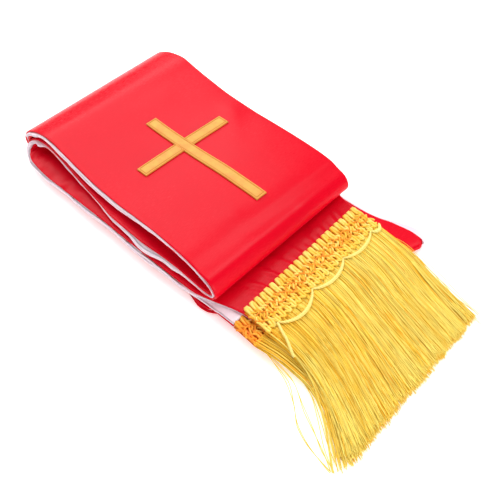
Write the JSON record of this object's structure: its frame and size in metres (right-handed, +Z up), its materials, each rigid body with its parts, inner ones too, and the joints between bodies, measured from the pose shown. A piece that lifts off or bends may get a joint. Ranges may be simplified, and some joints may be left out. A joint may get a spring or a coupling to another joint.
{
  "type": "embroidered stole",
  "caption": "Clergy stole of red satin with a white lining, a gold cross, braided headings and long gold fringe, folded into a flat bundle with its fringed ends together",
  "frame": {"origin": "middle of the outline, on the surface the stole rests on", "axes": "+X along the bundle from its far fold towards the fringe, +Y across the strip, +Z up from the surface"},
  "size_m": [0.3255, 0.1536, 0.0338],
  "materials": {
    "red_satin": "satin weave",
    "white_lining": "smooth weave",
    "gold_applique": "fine woven",
    "gold_braid": "braided",
    "gold_fringe": "silky threads"
  },
  "bodies": {
    "root": {"upper_half_panel": "red_satin", "upper_half_lining": "white_lining", "lower_half_lining": "white_lining", "lower_half_panel": "red_satin", "neck_stretch": "red_satin", "cross_upright": "gold_applique", "cross_arm_left": "gold_applique", "cross_arm_right": "gold_applique", "upper_heading": "gold_braid", "lower_heading": "gold_braid", "upper_fringe": "gold_fringe", "lower_fringe": "gold_fringe", "swag_cord": "gold_fringe"}
  },
  "joints": []
}
